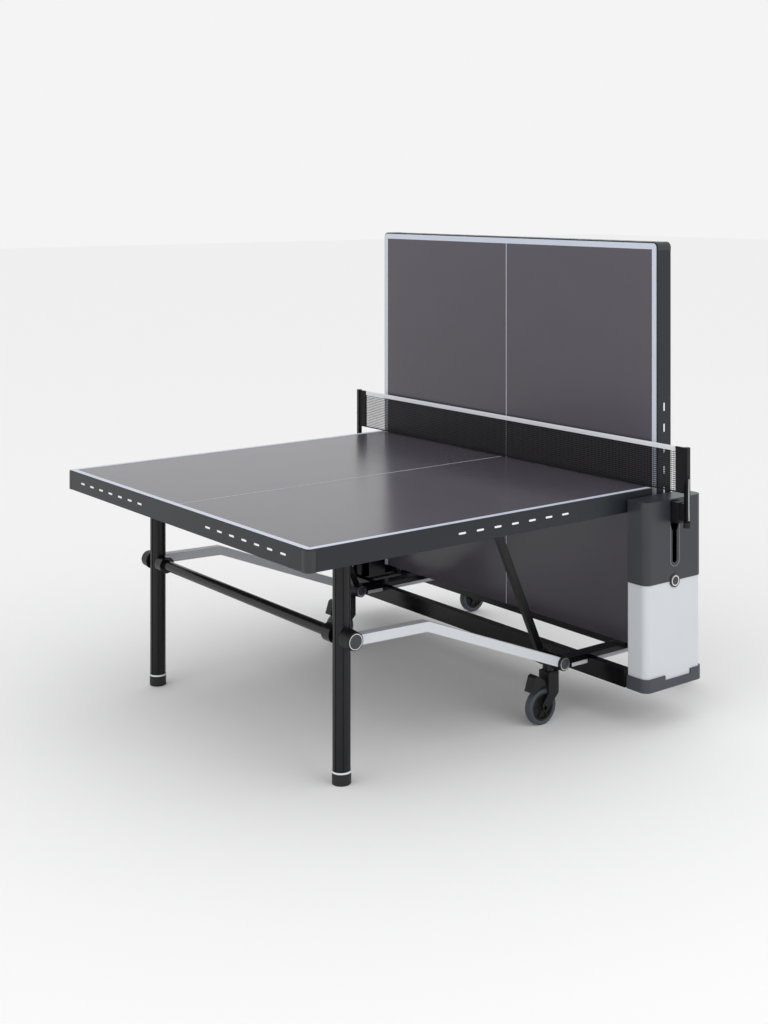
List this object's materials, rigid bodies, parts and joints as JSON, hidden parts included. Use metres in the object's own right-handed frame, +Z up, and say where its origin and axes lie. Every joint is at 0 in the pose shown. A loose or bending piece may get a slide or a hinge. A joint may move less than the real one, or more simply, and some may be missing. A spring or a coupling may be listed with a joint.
{
  "type": "ping pong table",
  "caption": "Folding outdoor ping pong table in playback position: one half flat on braced legs, the other raised behind the net, on a braked caster base with side covers.",
  "frame": {"origin": "on the floor, under the middle of the bounding box of the playback position", "axes": "+X across the table's width to the right, +Y along its length from the flat half to the raised half, +Z up"},
  "size_m": [1.848, 1.7635, 1.574],
  "materials": {
    "playing_surface": "matt grey melamine with white line paint",
    "apron_steel": "satin anthracite powder coat",
    "black_steel": "satin black powder coat",
    "leg_aluminium": "black anodised extrusion",
    "silver_steel": "satin silver powder coat",
    "post_steel": "satin black powder coat",
    "black_plastic": "fine textured moulding",
    "grey_cover": "fine textured moulding",
    "light_cover": "fine textured moulding",
    "tray_plastic": "fine textured moulding",
    "wheel_tyre": "soft grey tread on a black wheel",
    "foot_rubber": "matt",
    "net_mesh": "open knotted mesh",
    "net_tape": "white woven tape"
  },
  "bodies": {
    "base": {"base_frame": "black_steel", "cover_lower_left": "light_cover", "cover_lower_right": "light_cover", "cover_upper_left": "grey_cover", "cover_upper_right": "grey_cover", "guide_post_left": "black_steel", "guide_post_right": "black_steel", "hub_casting_far_left": "black_steel", "hub_casting_far_right": "black_steel", "hub_casting_near_left": "black_steel", "hub_casting_near_right": "black_steel", "net": "net_mesh", "net_bracket_left": "black_plastic", "net_bracket_right": "black_plastic", "net_post_left": "post_steel", "net_post_right": "post_steel", "net_tape": "net_tape", "tray_left": "tray_plastic", "tray_right": "tray_plastic"},
    "near_carriages": {"near_carriage_left": "black_steel", "near_carriage_right": "black_steel"},
    "near_top": {"near_board": "playing_surface", "near_apron_frame": "apron_steel"},
    "near_legs": {"near_leg_left": "leg_aluminium", "near_leg_right": "leg_aluminium", "near_leg_crossbar": "black_steel"},
    "near_arms": {"near_arm_left": "silver_steel", "near_arm_right": "silver_steel"},
    "near_struts": {"near_strut_left": "black_steel", "near_strut_right": "black_steel"},
    "near_foot_left": {"near_foot_left": "foot_rubber"},
    "near_foot_right": {"near_foot_right": "foot_rubber"},
    "far_carriages": {"far_carriage_left": "black_steel", "far_carriage_right": "black_steel"},
    "far_top": {"far_board": "playing_surface", "far_apron_frame": "apron_steel"},
    "far_legs": {"far_leg_left": "leg_aluminium", "far_leg_right": "leg_aluminium", "far_leg_crossbar": "black_steel"},
    "far_arms": {"far_arm_left": "silver_steel", "far_arm_right": "silver_steel"},
    "far_struts": {"far_strut_left": "black_steel", "far_strut_right": "black_steel"},
    "far_foot_left": {"far_foot_left": "foot_rubber"},
    "far_foot_right": {"far_foot_right": "foot_rubber"},
    "caster_near_left": {"caster_fork_near_left": "black_plastic"},
    "wheel_near_left": {"wheel_near_left": "wheel_tyre"},
    "brake_pedal_near_left": {"brake_pedal_near_left": "black_plastic"},
    "caster_near_right": {"caster_fork_near_right": "black_plastic"},
    "wheel_near_right": {"wheel_near_right": "wheel_tyre"},
    "brake_pedal_near_right": {"brake_pedal_near_right": "black_plastic"},
    "caster_far_left": {"caster_fork_far_left": "black_plastic"},
    "wheel_far_left": {"wheel_far_left": "wheel_tyre"},
    "brake_pedal_far_left": {"brake_pedal_far_left": "black_plastic"},
    "caster_far_right": {"caster_fork_far_right": "black_plastic"},
    "wheel_far_right": {"wheel_far_right": "wheel_tyre"},
    "brake_pedal_far_right": {"brake_pedal_far_right": "black_plastic"},
    "post_knob_left": {"post_knob_left": "black_plastic"},
    "post_knob_right": {"post_knob_right": "black_plastic"}
  },
  "joints": [
    {"name": "near_glide", "type": "slide", "parent": "base", "child": "near_carriages", "axis": [0, 0, -1], "range_m": [0, 0.4562]},
    {"name": "near_fold", "type": "hinge", "parent": "near_carriages", "child": "near_top", "pos_m": [0, 0.42825, 0.72], "axis": [-1, 0, 0], "range_deg": [0, 90]},
    {"name": "near_leg_hinge", "type": "hinge", "parent": "near_top", "child": "near_legs", "pos_m": [0, -0.63175, 0.71], "axis": [1, 0, 0], "range_deg": [0, 90]},
    {"name": "near_arm_hinge", "type": "hinge", "parent": "base", "child": "near_arms", "pos_m": [0, 0.20325, 0.202], "axis": [-1, 0, 0], "range_deg": [0, 88.82]},
    {"name": "near_strut_hinge", "type": "hinge", "parent": "near_top", "child": "near_struts", "pos_m": [0, -0.02231, 0.71], "axis": [1, 0, 0], "range_deg": [0, 43.31]},
    {"name": "near_foot_left_thread", "type": "slide", "parent": "near_legs", "child": "near_foot_left", "axis": [0, 0, -1], "range_m": [0, 0.012]},
    {"name": "near_foot_right_thread", "type": "slide", "parent": "near_legs", "child": "near_foot_right", "axis": [0, 0, -1], "range_m": [0, 0.012]},
    {"name": "far_glide", "type": "slide", "parent": "base", "child": "far_carriages", "axis": [0, 0, 1], "range_m": [0, 0.4562]},
    {"name": "far_fold", "type": "hinge", "parent": "far_carriages", "child": "far_top", "pos_m": [0, 0.54825, 0.264], "axis": [-1, 0, 0], "range_deg": [0, 90]},
    {"name": "far_leg_hinge", "type": "hinge", "parent": "far_top", "child": "far_legs", "pos_m": [0, 0.55825, 1.324], "axis": [1, 0, 0], "range_deg": [0, 90]},
    {"name": "far_arm_hinge", "type": "hinge", "parent": "base", "child": "far_arms", "pos_m": [0, 0.77325, 0.202], "axis": [-1, 0, 0], "range_deg": [0, 88.82]},
    {"name": "far_strut_hinge", "type": "hinge", "parent": "far_top", "child": "far_struts", "pos_m": [0, 0.55825, 0.71456], "axis": [1, 0, 0], "range_deg": [0, 43.31]},
    {"name": "far_foot_left_thread", "type": "slide", "parent": "far_legs", "child": "far_foot_left", "axis": [0, 0, -1], "range_m": [0, 0.012]},
    {"name": "far_foot_right_thread", "type": "slide", "parent": "far_legs", "child": "far_foot_right", "axis": [0, 0, -1], "range_m": [0, 0.012]},
    {"name": "swivel_near_left", "type": "hinge", "parent": "base", "child": "caster_near_left", "pos_m": [-0.575, 0.19125, 0.17], "axis": [0, 0, 1], "continuous": true},
    {"name": "wheel_spin_near_left", "type": "hinge", "parent": "caster_near_left", "child": "wheel_near_left", "pos_m": [-0.575, 0.15325, 0.0585], "axis": [1, 0, 0], "continuous": true},
    {"name": "brake_near_left", "type": "hinge", "parent": "caster_near_left", "child": "brake_pedal_near_left", "pos_m": [-0.575, 0.15825, 0.137], "axis": [1, 0, 0], "range_deg": [0, 8]},
    {"name": "swivel_near_right", "type": "hinge", "parent": "base", "child": "caster_near_right", "pos_m": [0.575, 0.19125, 0.17], "axis": [0, 0, 1], "continuous": true},
    {"name": "wheel_spin_near_right", "type": "hinge", "parent": "caster_near_right", "child": "wheel_near_right", "pos_m": [0.575, 0.15325, 0.0585], "axis": [1, 0, 0], "continuous": true},
    {"name": "brake_near_right", "type": "hinge", "parent": "caster_near_right", "child": "brake_pedal_near_right", "pos_m": [0.575, 0.15825, 0.137], "axis": [1, 0, 0], "range_deg": [0, 8]},
    {"name": "swivel_far_left", "type": "hinge", "parent": "base", "child": "caster_far_left", "pos_m": [-0.575, 0.78525, 0.17], "axis": [0, 0, 1], "continuous": true},
    {"name": "wheel_spin_far_left", "type": "hinge", "parent": "caster_far_left", "child": "wheel_far_left", "pos_m": [-0.575, 0.82325, 0.0585], "axis": [1, 0, 0], "continuous": true},
    {"name": "brake_far_left", "type": "hinge", "parent": "caster_far_left", "child": "brake_pedal_far_left", "pos_m": [-0.575, 0.81825, 0.137], "axis": [-1, 0, 0], "range_deg": [0, 8]},
    {"name": "swivel_far_right", "type": "hinge", "parent": "base", "child": "caster_far_right", "pos_m": [0.575, 0.78525, 0.17], "axis": [0, 0, 1], "continuous": true},
    {"name": "wheel_spin_far_right", "type": "hinge", "parent": "caster_far_right", "child": "wheel_far_right", "pos_m": [0.575, 0.82325, 0.0585], "axis": [1, 0, 0], "continuous": true},
    {"name": "brake_far_right", "type": "hinge", "parent": "caster_far_right", "child": "brake_pedal_far_right", "pos_m": [0.575, 0.81825, 0.137], "axis": [-1, 0, 0], "range_deg": [0, 8]},
    {"name": "net_clamp_left", "type": "hinge", "parent": "base", "child": "post_knob_left", "pos_m": [-0.912, 0.48825, 0.6627], "axis": [0, 0, 1], "range_deg": [0, 360]},
    {"name": "net_clamp_right", "type": "hinge", "parent": "base", "child": "post_knob_right", "pos_m": [0.912, 0.48825, 0.6627], "axis": [0, 0, 1], "range_deg": [0, 360]}
  ],
  "couplings": [
    {"joint": "near_glide", "follows": "near_fold", "m_per_rad": 0.2903},
    {"joint": "near_leg_hinge", "follows": "near_fold", "ratio": 1},
    {"joint": "near_arm_hinge", "follows": "near_fold", "ratio": 0.98679},
    {"joint": "near_strut_hinge", "follows": "near_fold", "ratio": 0.48113},
    {"joint": "far_glide", "follows": "far_fold", "m_per_rad": 0.2903},
    {"joint": "far_leg_hinge", "follows": "far_fold", "ratio": 1},
    {"joint": "far_arm_hinge", "follows": "far_fold", "ratio": 0.98679},
    {"joint": "far_strut_hinge", "follows": "far_fold", "ratio": 0.48113}
  ]
}
